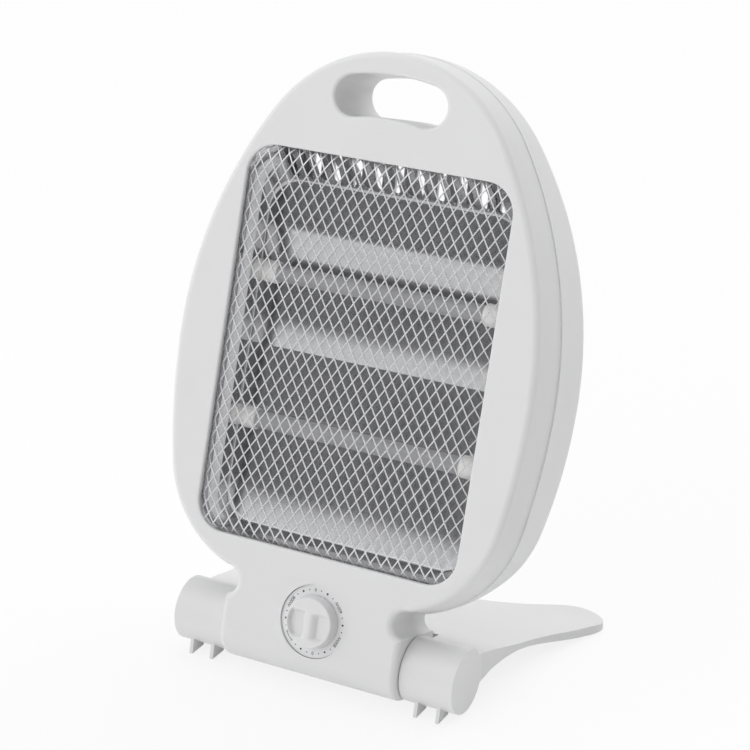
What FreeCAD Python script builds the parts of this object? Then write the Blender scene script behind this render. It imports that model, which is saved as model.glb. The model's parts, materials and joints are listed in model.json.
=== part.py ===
# A small quartz heater: an egg-shaped casing with two quartz tubes behind a grille, on a tilting foot.
# Millimetres. X runs to the right, Y to the back, Z up; the origin is on the floor under the middle.
# The casing's pieces are drawn upright about the hinge axis and then leaned back with the casing.
import FreeCAD, Part
import math
import os

from FreeCAD import Placement, Rotation, Vector

doc = FreeCAD.newDocument("QuartzHeater")

# Driving dimensions
SIZES = {
    # how the casing stands
    "recline_angle": 18.56,
    "hinge_height": 19.7,
    "wall": 2.5,
    # front outline of the casing, heights measured from the hinge axis
    "casing_half_width": 107.8,
    "casing_top": 324.5,
    "lower_side_radius": 366.0,
    "corner_radius": 65.0,
    "corner_height": 96.5,
    "neck_inset": 6.5,
    "notch_low": 18.0,
    "notch_step": 2.0,
    "hub_inset": 52.8,
    "hub_radius": 18.5,
    # depth of the casing about the parting plane, which holds the hinge axis
    "front_depth": 22.8,
    "front_flare": 3.5,
    "rear_flare": 4.3,
    "rear_depth": 37.5,
    "neck_depth": 18.5,
    "front_edge_round": 3.5,
    "rear_edge_round": 9.0,
    "opening_edge_round": 1.2,
    "slot_edge_round": 2.0,
    "slot_back_round": 3.0,
    # openings in the casing
    "grille_border": 27.8,
    "grille_low": 51.1,
    "grille_drop": 58.5,
    "grille_corner": 17.0,
    "slot_half_width": 33.6,
    "slot_end_radius": 11.3,
    "slot_drop": 23.3,
    "slot_bend": 116.0,
    # grille
    "grille_lap": 3.0,
    "grille_sheet": 0.8,
    "grille_strand": 1.0,
    "diamond_width": 13.2,
    "diamond_height": 20.8,
    "grille_rim": 1.0,
    # reflector
    "reflector_sheet": 0.8,
    "reflector_corner": 20.0,
    "reflector_depth": 29.5,
    "reflector_top_drop": 20.0,
    "vent_slot_width": 5.0,
    "vent_slot_pitch": 9.0,
    "vent_slot_length": 20.0,
    # quartz tubes
    "tube_radius": 5.0,
    "tube_wall": 1.0,
    "tube_depth": 25.0,
    "coil_radius": 2.4,
    "cap_radius": 6.25,
    "cap_inset": 19.7,
    "tube_in_cap": 10.0,
    "cap_length": 12.0,
    "cap_neck_radius": 4.6,
    "cap_neck_length": 15.7,
    "pin_radius": 1.2,
    "pin_tail": 5.0,
    # dial, switch and knob
    "dial_height": 15.6,
    "dial_side": 2.0,
    "dial_radius": 20.0,
    "dial_sheet": 1.2,
    "dial_recess": 1.5,
    "dial_hole_radius": 5.5,
    "dial_gap": 0.3,
    "seat_thickness": 3.3,
    "switch_size": 28.0,
    "switch_depth": 16.0,
    "bush_radius": 4.5,
    "shaft_radius": 3.0,
    "shaft_clearance": 0.05,
    "shaft_tail": 6.0,
    "knob_radius": 14.6,
    "knob_front_radius": 13.8,
    "knob_height": 6.6,
    "knob_edge_round": 0.9,
    "knob_skin": 1.6,
    "knob_lift": 0.4,
    "knob_bar": 10.5,
    "knob_rim": 1.8,
    "scoop_depth": 4.4,
    # foot and hinge
    "barrel_radius": 18.0,
    "barrel_wall": 2.5,
    "barrel_inset": 20.7,
    "barrel_gap": 0.4,
    "end_cap_thickness": 2.0,
    "end_cap_spigot": 6.0,
    "spigot_clearance": 0.1,
    "web": 4.0,
    "bolt_radius": 4.0,
    "bolt_clearance": 0.06,
    "bolt_head_radius": 7.0,
    "bolt_head_height": 4.0,
    "washer_radius": 8.5,
    "washer_thickness": 1.0,
    "nut_radius": 7.0,
    "nut_height": 6.0,
    "nut_clearance": 0.1,
    "plate_reach": 127.0,
    "plate_overhang": 7.2,
    "plate_clearance": 30.0,
    "toe_thickness": 2.0,
    "toe_reach": 16.6,
    "toe_length": 12.0,
    "toe_slope": 3.0,
    "toe_inset": 9.5,
    "toe_spacing": 13.3,
    # inner parts and fasteners
    "boss_radius": 4.0,
    "boss_gap": 4.5,
    "boss_hip_out": 13.5,
    "boss_hip_up": 10.0,
    "boss_slot_out": 18.5,
    "boss_slot_drop": 18.0,
    "screw_radius": 1.5,
    "screw_head_radius": 2.8,
    "screw_head_height": 1.6,
    "screw_length": 14.0,
    "screw_gap": 0.2,
    "tray_screw_bite": 9.0,
    "switch_screw_bite": 4.0,
    "block_width": 22.0,
    "block_depth": 14.0,
    "block_height": 20.0,
    "block_gap": 3.0,
    "block_low": 2.0,
    "cutout_radius": 8.0,
    "cutout_height": 6.0,
    "cord_bush_height": 32.0,
    "cord_bush_radius": 5.5,
    "cord_bush_flange": 7.5,
    "cord_bush_lip": 2.0,
    "cord_bore_radius": 3.2,
    "rear_vent_length": 34.0,
    "rear_vent_width": 5.0,
    "rear_vent_pitch": 13.0,
    "rear_vent_rise": 37.0,
    "rear_vent_drop": 8.0,
}

# Dimensions that follow from the driving ones
FORMULAS = {
    "crown_radius": "=0.7607 * casing_half_width",
    "widest_height": "=0.4777 * casing_top",
    "hub_half_width": "=casing_half_width - hub_inset",
    "neck_half_width": "=hub_half_width - neck_inset",
    "notch_out": "=hub_half_width + notch_step",
    "grille_half_width": "=casing_half_width - grille_border",
    "grille_high": "=casing_top - grille_drop",
    "slot_height": "=casing_top - slot_drop",
    "reflector_half_width": "=grille_half_width + grille_lap",
    "tube_upper_height": "=grille_low + 0.6729 * (grille_high - grille_low)",
    "tube_lower_height": "=grille_low + 0.2894 * (grille_high - grille_low)",
    "cap_inner_end": "=reflector_half_width - cap_inset",
    "tube_half_length": "=cap_inner_end + tube_in_cap",
    "shaft_socket": "=knob_height - knob_skin",
    "barrel_end": "=casing_half_width - barrel_inset",
    "plate_rear_half": "=casing_half_width + plate_overhang",
    "toe_inner": "=hub_half_width + toe_inset",
    "toe_outer": "=toe_inner + toe_spacing",
}

# The back's curve: share of the way from the neck's depth to the full depth, share of the casing's height
BACK_CURVE = ((0.45, 0.175), (0.8, 0.25), (0.96, 0.345), (1.0, 0.478), (0.92, 0.632), (0.66, 0.801),
              (0.16, 0.959), (-0.32, 1.053))

# The foot's plate seen from above, as shares of its reach behind the hinge: first with shares of the flare
# from the barrel's end to the widest place, then round the rear with shares of the half width
PLATE_FLARE = ((0.03, 0.19), (0.13, 0.36), (0.28, 0.53), (0.48, 0.66), (0.72, 0.78), (0.9, 0.88),
               (0.985, 0.94))
PLATE_REAR = ((0.975, 0.98), (0.93, 1.01), (0.85, 1.033), (0.61, 0.947), (0.41, 0.861), (0.2, 0.8))
PLATE_WAIST = 0.78

# The foot's plate seen from the side: share of its reach, share of the hinge's height above the floor
PLATE_TOP = ((0.0, 1.5), (0.14, 1.43), (0.19, 1.36), (0.38, 0.97), (0.56, 0.68), (0.74, 0.44), (0.9, 0.25),
             (1.08, 0.17))
PLATE_UNDER = ((0.0, 0.45), (0.15, 0.6), (0.21, 0.69), (0.32, 0.73), (0.44, 0.66), (0.56, 0.48), (0.68, 0.27),
               (0.81, 0.08), (0.88, 0.0))

sheet = doc.addObject("Spreadsheet::Sheet", "Sizes")
for row, (alias, entry) in enumerate({**SIZES, **FORMULAS}.items(), start=1):
    sheet.set(f"A{row}", alias)
    sheet.set(f"B{row}", str(entry))
    sheet.setAlias(f"B{row}", alias)
doc.recompute()


class Size:
    """The sheet's numbers under their own names."""

    def __getattr__(self, alias):
        return float(sheet.get(alias))


size = Size()
pieces = {}
X_AXIS = Vector(1, 0, 0)
Y_AXIS = Vector(0, 1, 0)
SIDES = {"left": -1, "right": 1}

# Places worked out from the sizes
FRONT = -size.front_depth
INNER_FRONT = FRONT + size.wall
GRILLE_BACK = INNER_FRONT + size.grille_sheet
REFLECTOR_BACK = GRILLE_BACK + size.reflector_depth
TUBE_Y = FRONT + size.tube_depth
TUBE_HEIGHTS = {"upper": size.tube_upper_height, "lower": size.tube_lower_height}
DIAL_FRONT = FRONT + size.dial_recess
DIAL_BACK = DIAL_FRONT + size.dial_sheet
SEAT_BACK = DIAL_BACK + size.seat_thickness
BARREL_START = size.hub_half_width + size.barrel_gap
HUB_INNER = size.hub_half_width - size.wall

# The casing leans back about the hinge axis; the foot stands straight
FOOT_FRAME = Placement(Vector(0, 0, size.hinge_height), Rotation())
CASING_FRAME = Placement(Vector(0, 0, size.hinge_height), Rotation(X_AXIS, -size.recline_angle))


# Helpers
def bind(item, **expressions):
    for name, expression in expressions.items():
        item.setExpression(name, expression)
    return item


def cylinder(name, radius, length, base, axis):
    """A rod whose radius and length are formulas on the sheet, standing on base along axis."""
    item = doc.addObject("Part::Cylinder", name)
    bind(item, Radius=radius, Height=length)
    item.Placement = Placement(base, Rotation(Vector(0, 0, 1), axis))
    return item


def block(name, length, width, height, corner):
    item = doc.addObject("Part::Box", name)
    bind(item, Length=length, Width=width, Height=height)
    item.Placement = Placement(corner, Rotation())
    return item


def fuse(name, items):
    item = doc.addObject("Part::MultiFuse", name)
    item.Shapes = items
    return item


def cut(name, base, tool):
    item = doc.addObject("Part::Cut", name)
    item.Base = base
    item.Tool = tool
    return item


def solid_feature(name, shape):
    item = doc.addObject("Part::Feature", name)
    item.Shape = shape
    return item


def keep(label, item, frame):
    """Label a finished sub-part and set it in its body's frame."""
    doc.recompute()
    item.Label = label
    item.Placement = frame.multiply(item.Placement)
    pieces[label] = item
    return item


def at(x, y, z):
    return Vector(x, y, z)


def rod(radius, start, direction, length):
    return Part.makeCylinder(radius, length, start, direction)


def face_of(edges):
    return Part.Face(Part.Wire(edges))


def arc(first, middle, last):
    return Part.Arc(first, middle, last).toShape()


def line(first, last):
    return Part.LineSegment(first, last).toShape()


def arc_about(y, centre, radius, first, last):
    """An arc in the plane of the casing about a centre (x, z), between two points (x, z)."""
    angles = [math.atan2(p[1] - centre[1], p[0] - centre[0]) for p in (first, last)]
    turn = (angles[1] - angles[0] + math.pi) % (2 * math.pi) - math.pi
    middle = angles[0] + turn / 2
    half = (centre[0] + radius * math.cos(middle), centre[1] + radius * math.sin(middle))
    return arc(*(at(p[0], y, p[1]) for p in (first, half, last)))


def outward(centre, other, radius):
    """The point at radius from centre, in the direction away from other to centre."""
    run = math.hypot(centre[0] - other[0], centre[1] - other[1])
    return tuple(c + radius * (c - o) / run for c, o in zip(centre, other))


# Casing
def outline(y, flare, inset=0.0):
    """The casing's closed outline at one depth: flare grows it, inset draws it in by a wall."""
    grow = flare - inset
    half = size.casing_half_width + grow
    top = size.casing_top + grow - 0.75 * flare
    crown = size.crown_radius + grow
    middle = size.widest_height
    rise = top - crown - middle
    side = (half ** 2 + rise ** 2 - crown ** 2) / (2 * (half - crown))
    crown_centre = (0.0, top - crown)
    side_centre = (half - side, middle)
    shoulder = outward(crown_centre, side_centre, crown)
    lower = size.lower_side_radius + grow
    corner = size.corner_radius + grow
    lower_centre = (half - lower, middle)
    drop = middle - size.corner_height
    corner_centre = (lower_centre[0] + math.sqrt((lower - corner) ** 2 - drop ** 2), size.corner_height)
    hip = outward(corner_centre, lower_centre, corner)
    notch_x = size.notch_out - inset
    notch_top = size.corner_height - math.sqrt(corner ** 2 - (notch_x - corner_centre[0]) ** 2)
    hub = size.hub_half_width - inset
    notch_low = size.notch_low - inset
    neck = (size.neck_half_width - inset, (notch_top + notch_low) / 2)
    floor = -size.hub_radius + inset
    edges = []
    for sign in (1, -1):
        def flip(point):
            return (sign * point[0], point[1])

        half_edges = [
            arc_about(y, flip(side_centre), side, flip(shoulder), flip((half, middle))),
            arc_about(y, flip(lower_centre), lower, flip((half, middle)), flip(hip)),
            arc_about(y, flip(corner_centre), corner, flip(hip), flip((notch_x, notch_top))),
            arc(*(at(sign * p[0], y, p[1]) for p in ((notch_x, notch_top), neck, (hub, notch_low)))),
            line(at(sign * hub, y, notch_low), at(sign * hub, y, floor)),
        ]
        edges.append(half_edges)
    crown_arc = arc(at(-shoulder[0], y, shoulder[1]), at(0, y, top), at(shoulder[0], y, shoulder[1]))
    base = line(at(hub, y, floor), at(-hub, y, floor))
    return Part.Wire([crown_arc] + edges[0] + [base] + edges[1][::-1])


def slot_face(y, grow=0.0):
    """The arched hand slot, grown by a wall where it is the tube round the slot."""
    radius = size.slot_end_radius + grow
    swing = math.asin((size.slot_half_width - size.slot_end_radius) / size.slot_bend)
    low = size.slot_height - size.slot_bend

    def polar(distance, angle):
        return at(distance * math.sin(angle), y, low + distance * math.cos(angle))

    far = size.slot_bend + radius
    near = size.slot_bend - radius
    tip = swing + radius / size.slot_bend
    return face_of([
        arc(polar(far, -swing), polar(far, 0), polar(far, swing)),
        arc(polar(far, swing), polar(size.slot_bend, tip), polar(near, swing)),
        arc(polar(near, swing), polar(near, 0), polar(near, -swing)),
        arc(polar(near, -swing), polar(size.slot_bend, -tip), polar(far, -swing)),
    ])


def rounded_rectangle(y, half, low, high, radius):
    """A face with four round corners in the plane of the casing."""
    bend = radius * (1 - math.sqrt(0.5))
    corners = [(half, high, 1, 1), (half, low, 1, -1), (-half, low, -1, -1), (-half, high, -1, 1)]
    arcs = []
    for index, (x, z, sx, sz) in enumerate(corners):
        upright = at(x, y, z - sz * radius)
        level = at(x - sx * radius, y, z)
        ends = (level, upright) if index % 2 == 0 else (upright, level)
        arcs.append(Part.Arc(ends[0], at(x - sx * bend, y, z - sz * bend), ends[1]))
    edges = []
    for index, bow in enumerate(arcs):
        edges.append(bow.toShape())
        edges.append(line(bow.EndPoint, arcs[(index + 1) % 4].StartPoint))
    return face_of(edges)


def chin_cutter(radius):
    """What is taken off the hub's lower front edge to round it."""
    reach = 2 * size.barrel_end
    middle = FRONT + size.hub_radius
    corner = Part.makeBox(reach, size.hub_radius * 2, size.hub_radius * 2,
                          at(-reach / 2, middle - 2 * size.hub_radius, -2 * size.hub_radius))
    return corner.cut(rod(radius, at(-reach / 2, middle, 0), X_AXIS, reach))


def cover_screw_places():
    """Where the rear cover is screwed to the front cover: (x, z) from the outline and the slot."""
    side = size.casing_half_width - size.wall - size.boss_radius - size.boss_gap
    hip_x = size.neck_half_width + size.boss_hip_out
    hip_z = size.corner_height - size.corner_radius + size.boss_hip_up
    shoulder_x = size.slot_half_width + size.boss_slot_out
    shoulder_z = size.slot_height - size.boss_slot_drop
    right = [(side, size.widest_height), (hip_x, hip_z), (shoulder_x, shoulder_z)]
    return [(sign * x, z) for x, z in right for sign in (-1, 1)]


def bolt_holes():
    reach = 2 * size.hub_half_width
    return rod(size.bolt_radius + size.bolt_clearance, at(-reach / 2, 0, 0), X_AXIS, reach)


def front_rim(shape, half, low, high):
    """The edges on the front plane that lie within half a width and between two heights."""
    slack = size.wall / 10
    rim = []
    for edge in shape.Edges:
        box = edge.BoundBox
        level = abs(box.YMin - FRONT) < slack and abs(box.YMax - FRONT) < slack
        if level and box.XMax < half + slack and box.XMin > -half - slack and low - slack < box.ZMin and \
                box.ZMax < high + slack:
            rim.append(edge)
    return rim


def make_front_cover():
    outer = Part.makeLoft([outline(FRONT, 0), outline(0, size.front_flare)], True, True)
    outer = outer.cut(chin_cutter(size.hub_radius))
    rim = [e for e in outer.Edges if all(abs(v.Y - FRONT) < 0.01 for v in e.Vertexes) and e.Length > 1]
    outer = outer.makeFillet(size.front_edge_round, rim)
    hollow_ends = [outline(INNER_FRONT, 0, size.wall), outline(0, size.front_flare, size.wall)]
    inner = Part.makeLoft(hollow_ends, True, True)
    inner = inner.cut(chin_cutter(size.hub_radius - size.wall))
    through = Y_AXIS * size.front_depth
    tube_length = size.front_depth - size.wall / 2
    slot_tube = slot_face(FRONT + size.wall / 2, size.wall).extrude(Y_AXIS * tube_length)
    seat_front = FRONT + size.wall / 2
    seat = rod(size.dial_radius + size.dial_gap + size.wall, on_dial(seat_front), Y_AXIS,
               SEAT_BACK - seat_front)
    cover = outer.cut(inner).fuse([slot_tube, seat.common(outer)])
    bosses = [rod(size.boss_radius, at(x, FRONT + size.wall / 2, z), Y_AXIS, size.front_depth - size.wall / 2)
              for x, z in cover_screw_places()]
    pilots = [rod(size.screw_radius, at(x, -size.screw_length, z), Y_AXIS, size.screw_length)
              for x, z in cover_screw_places()]
    opening_box = (size.grille_half_width, size.grille_low, size.grille_high)
    opening = rounded_rectangle(FRONT, *opening_box, size.grille_corner)
    recess = rod(size.dial_radius + size.dial_gap, on_dial(FRONT - size.wall), Y_AXIS,
                 DIAL_BACK - FRONT + size.wall)
    bush_hole = rod(size.bush_radius, on_dial(FRONT), Y_AXIS, size.front_depth / 2)
    cover = cover.fuse(bosses)
    cover = cover.cut([slot_face(FRONT).extrude(through), opening.extrude(through / 3), recess, bush_hole,
                       bolt_holes()] + pilots + switch_screw_shapes()).removeSplitter()
    reach = 2 * size.slot_end_radius
    slot_box = (size.slot_half_width + size.wall, size.slot_height - reach, size.slot_height + reach)
    for box, radius in ((opening_box, size.opening_edge_round), (slot_box, size.slot_edge_round)):
        cover = cover.makeFillet(radius, front_rim(cover, *box))
    return cover


def back_profile(inset=0.0):
    """The casing's back seen from the side, as a face to be drawn across the whole width."""
    deep = size.rear_depth - inset
    neck = size.neck_depth - inset
    points = [(neck, size.cord_bush_height + size.cord_bush_flange)]
    points += [(neck + share * (deep - neck), up * size.casing_top) for share, up in BACK_CURVE]
    high = points[-1][1]
    spline = Part.BSplineCurve()
    places = [at(0, y, z) for y, z in points]
    spline.interpolate(places, InitialTangent=at(0, 0, 1), FinalTangent=at(0, -0.3, 1))
    radius = size.hub_radius - inset
    low = at(0, 0, -radius)
    bend = math.sqrt(0.5) * radius
    return face_of([
        spline.toShape(), line(at(0, points[-1][0], high), at(0, 0, high)), line(at(0, 0, high), low),
        arc(low, at(0, bend, -bend), at(0, radius, 0)), line(at(0, neck, 0), at(0, *points[0])),
    ])


def rear_body(inset, edge_round):
    """The rear shell's solid, drawn in by a wall where it is the hollow."""
    wide = 2 * (size.casing_half_width + size.rear_flare)
    prism = Part.Face(outline(0, size.rear_flare, inset)).extrude(Y_AXIS * 2 * size.rear_depth)
    across = back_profile(inset).extrude(X_AXIS * wide)
    across.translate(at(-wide / 2, 0, 0))
    body = prism.common(across)
    back = [f for f in body.Faces if isinstance(f.Surface, (Part.BSplineSurface, Part.SurfaceOfExtrusion))
            and f.Area > size.casing_top]
    rim = [e for e in back[0].Edges if e.BoundBox.ZMax > size.corner_height]
    return body.makeFillet(edge_round, rim)


def rear_vents():
    """Two rows of upright slots through the back, above and below the middle."""
    cutters = []
    pitch = size.rear_vent_pitch
    count = int((size.grille_half_width - pitch) / pitch)
    half = size.rear_vent_width / 2
    lower_row = size.tube_lower_height - size.rear_vent_drop - size.rear_vent_length
    upper_row = size.tube_upper_height + size.rear_vent_rise
    for low in (lower_row, upper_row):
        for index in range(-count, count + 1):
            x = index * pitch
            high = low + size.rear_vent_length
            slot = rounded_rectangle(0, half, low, high, half * 0.98)
            slot.translate(at(x, REFLECTOR_BACK, 0))
            cutters.append(slot.extrude(Y_AXIS * size.rear_depth))
    return cutters


def reflector_screw_places():
    """Behind the tubes, clear of the vents."""
    return [(sign * size.grille_half_width * 0.62, z) for sign in (-1, 1) for z in TUBE_HEIGHTS.values()]


def rear_slot_rim(edge):
    """Whether an edge runs round the hand slot where it leaves the back."""
    box = edge.BoundBox
    near_slot = abs(edge.CenterOfMass.z - size.slot_height) < 2 * size.slot_end_radius
    return near_slot and box.XMax - box.XMin < 3 * size.slot_half_width and box.YMin > size.wall and \
        max(box.XMax, -box.XMin) < size.slot_half_width + size.wall


def make_rear_cover():
    outer = rear_body(0.0, size.rear_edge_round)
    inner = rear_body(size.wall, size.rear_edge_round - size.wall)
    deep = 2 * size.rear_depth
    slot_tube = slot_face(0, size.wall).extrude(Y_AXIS * deep).common(outer)
    posts = [rod(size.screw_head_radius + size.wall, at(x, 0, z), Y_AXIS, deep).common(outer)
             for x, z in cover_screw_places()]
    seats = [rod(size.boss_radius, at(x, REFLECTOR_BACK, z), Y_AXIS, deep).common(outer)
             for x, z in reflector_screw_places()]
    cover = outer.cut(inner).fuse([slot_tube] + posts + seats)
    shanks = [rod(size.screw_radius, at(x, 0, z), Y_AXIS, size.rear_depth) for x, z in cover_screw_places()]
    heads = [rod(size.screw_head_radius + size.screw_gap, at(x, size.wall * 2, z), Y_AXIS, deep)
             for x, z in cover_screw_places()]
    pilots = [rod(size.screw_radius, at(x, 0, z), Y_AXIS, REFLECTOR_BACK + size.tray_screw_bite)
              for x, z in reflector_screw_places()]
    bush = rod(size.cord_bush_radius, at(0, 0, size.cord_bush_height), Y_AXIS, deep)
    slot = slot_face(0).extrude(Y_AXIS * deep)
    holed = outer.cut(slot)
    rim = [edge for edge in holed.Edges if rear_slot_rim(edge)]
    cover = holed.makeFillet(size.slot_back_round, rim).common(cover)
    return cover.cut([slot, bolt_holes(), bush] + shanks + heads + pilots + rear_vents()).removeSplitter()


# Grille and reflector
def make_grille():
    """A sheet with diamond holes in a plain border that laps behind the front cover."""
    lap = size.grille_lap
    face = rounded_rectangle(INNER_FRONT, size.grille_half_width + lap, size.grille_low - lap,
                             size.grille_high + lap, size.grille_corner)
    half_wide = (size.diamond_width - size.grille_strand * 1.2) / 2
    half_high = (size.diamond_height - size.grille_strand * 1.9) / 2
    middle = (size.grille_low + size.grille_high) / 2
    columns = int(size.grille_half_width * 2 / size.diamond_width) + 1
    rows = int((size.grille_high - size.grille_low) / size.diamond_height) + 1
    reach = size.grille_half_width - size.grille_rim
    low = size.grille_low + size.grille_rim
    high = size.grille_high - size.grille_rim
    smallest = 4 * size.grille_strand ** 2
    window = rounded_rectangle(INNER_FRONT, reach, low, high, size.grille_corner)
    holes = []
    for row in range(-rows, rows + 1):
        for column in range(-columns, columns + 1):
            if (row + column) % 2:
                continue
            x = column * size.diamond_width / 2
            z = middle + row * size.diamond_height / 2
            corners = [at(x + half_wide, INNER_FRONT, z), at(x, INNER_FRONT, z + half_high),
                       at(x - half_wide, INNER_FRONT, z), at(x, INNER_FRONT, z - half_high)]
            inside = [abs(c.x) < reach and low < c.z < high for c in corners]
            if any(inside):
                part_hole = Part.Face(Part.makePolygon(corners + corners[:1])).common(window)
                holes.extend(f for f in part_hole.Faces if f.Area > smallest)
    print("grille gaps", len(holes))
    net = Part.Face([face.OuterWire] + [h.OuterWire for h in holes])
    net.validate()
    return net.extrude(Y_AXIS * size.grille_sheet)


def tray_profile(inset):
    """The reflector seen from the side: a back, a level lower wall and a sloping upper wall."""
    lap = size.grille_lap
    low = size.grille_low - lap + inset
    high = size.grille_high + lap - inset
    back = REFLECTOR_BACK - inset
    front = GRILLE_BACK
    corners = [at(0, front, low), at(0, back, low), at(0, back, high - size.reflector_top_drop),
               at(0, front, high)]
    return Part.Face(Part.makePolygon(corners + corners[:1]))


def tray_solid(inset):
    """The tray's outer form with round corners, drawn in by the sheet where it is the hollow."""
    half = size.reflector_half_width - inset
    lap = size.grille_lap
    across = tray_profile(inset).extrude(X_AXIS * 2 * half)
    across.translate(at(-half, 0, 0))
    low = size.grille_low - lap + inset
    high = size.grille_high + lap - inset
    window = rounded_rectangle(GRILLE_BACK, half, low, high, size.reflector_corner - inset)
    return across.common(window.extrude(Y_AXIS * size.reflector_depth))


def make_reflector():
    half = size.reflector_half_width
    tray = tray_solid(0).cut(tray_solid(size.reflector_sheet))
    count = int((half - size.vent_slot_pitch) / size.vent_slot_pitch)
    middle = (GRILLE_BACK + REFLECTOR_BACK) / 2
    slot_y = middle - size.vent_slot_length / 2
    slot_z = size.grille_high - 2 * size.reflector_top_drop
    slots = [Part.makeBox(size.vent_slot_width, size.vent_slot_length, 4 * size.reflector_top_drop,
                          at(i * size.vent_slot_pitch - size.vent_slot_width / 2, slot_y, slot_z))
             for i in range(-count, count + 1)]
    neck_holes = [rod(size.cap_neck_radius, at(-half, TUBE_Y, z), X_AXIS, 2 * half)
                  for z in TUBE_HEIGHTS.values()]
    screw_holes = [rod(size.screw_radius, at(x, 0, z), Y_AXIS, size.rear_depth)
                   for x, z in reflector_screw_places()]
    return tray.cut(slots + neck_holes + screw_holes)


# Screws: each a shank with a round head, as groups of separate solids
def screws(places, head_y, toward, length):
    shapes = []
    for x, z in places:
        shank = rod(size.screw_radius, at(x, head_y, z), Y_AXIS * toward, length)
        head = rod(size.screw_head_radius, at(x, head_y, z), Y_AXIS * -toward, size.screw_head_height)
        shapes.append(shank.fuse(head).removeSplitter())
    return shapes


def switch_screw_shapes():
    places = [(size.dial_side + sign * size.switch_size * 0.36, size.dial_height) for sign in (-1, 1)]
    return screws(places, DIAL_BACK + size.screw_head_height, 1, size.seat_thickness + size.switch_screw_bite)


# Quartz tubes with their coils, ceramic caps and pins
def make_tube(level, height):
    length = "2 * Sizes.tube_half_length"
    start = at(-size.tube_half_length, TUBE_Y, height)
    shell = cylinder(f"tube_shell_{level}", "Sizes.tube_radius", length, start, X_AXIS)
    bore = cylinder(f"tube_bore_{level}", "Sizes.tube_radius - Sizes.tube_wall", length, start, X_AXIS)
    keep(f"quartz_tube_{level}", cut(f"tube_{level}", shell, bore), CASING_FRAME)
    coil_length = "2 * (Sizes.cap_inner_end + Sizes.cap_length)"
    coil_start = at(-size.cap_inner_end - size.cap_length, TUBE_Y, height)
    coil = cylinder(f"coil_{level}", "Sizes.coil_radius", coil_length, coil_start, X_AXIS)
    keep(f"heating_coil_{level}", coil, CASING_FRAME)


def make_cap(level, height, side, sign):
    out = X_AXIS * sign
    start = at(sign * size.cap_inner_end, TUBE_Y, height)
    name = f"{level}_{side}"
    sleeve = cylinder(f"cap_sleeve_{name}", "Sizes.cap_radius", "Sizes.cap_length", start, out)
    neck_start = start + out * size.cap_length
    neck = cylinder(f"cap_neck_{name}", "Sizes.cap_neck_radius", "Sizes.cap_neck_length", neck_start, out)
    socket = cylinder(f"cap_socket_{name}", "Sizes.tube_radius",
                      "Sizes.tube_half_length - Sizes.cap_inner_end", start, out)
    pin_hole = cylinder(f"cap_hole_{name}", "Sizes.coil_radius", "Sizes.cap_length", start, out)
    pin_bore = cylinder(f"cap_bore_{name}", "Sizes.pin_radius", "Sizes.cap_neck_length", neck_start, out)
    body = fuse(f"cap_body_{name}", [sleeve, neck])
    hollow = fuse(f"cap_hollow_{name}", [socket, pin_hole, pin_bore])
    keep(f"ceramic_cap_{name}", cut(f"cap_{name}", body, hollow), CASING_FRAME)


def make_pins():
    reach = size.cap_inner_end + size.cap_length
    pins = [rod(size.pin_radius, at(sign * reach, TUBE_Y, z), X_AXIS * sign,
                size.cap_neck_length + size.pin_tail)
            for z in TUBE_HEIGHTS.values() for sign in (-1, 1)]
    keep("tube_terminals", solid_feature("pins", Part.makeCompound(pins)), CASING_FRAME)


# Dial, switch and knob on one axis square to the front
def on_dial(y, x=0.0, z=0.0):
    return at(size.dial_side + x, y, size.dial_height + z)


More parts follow.
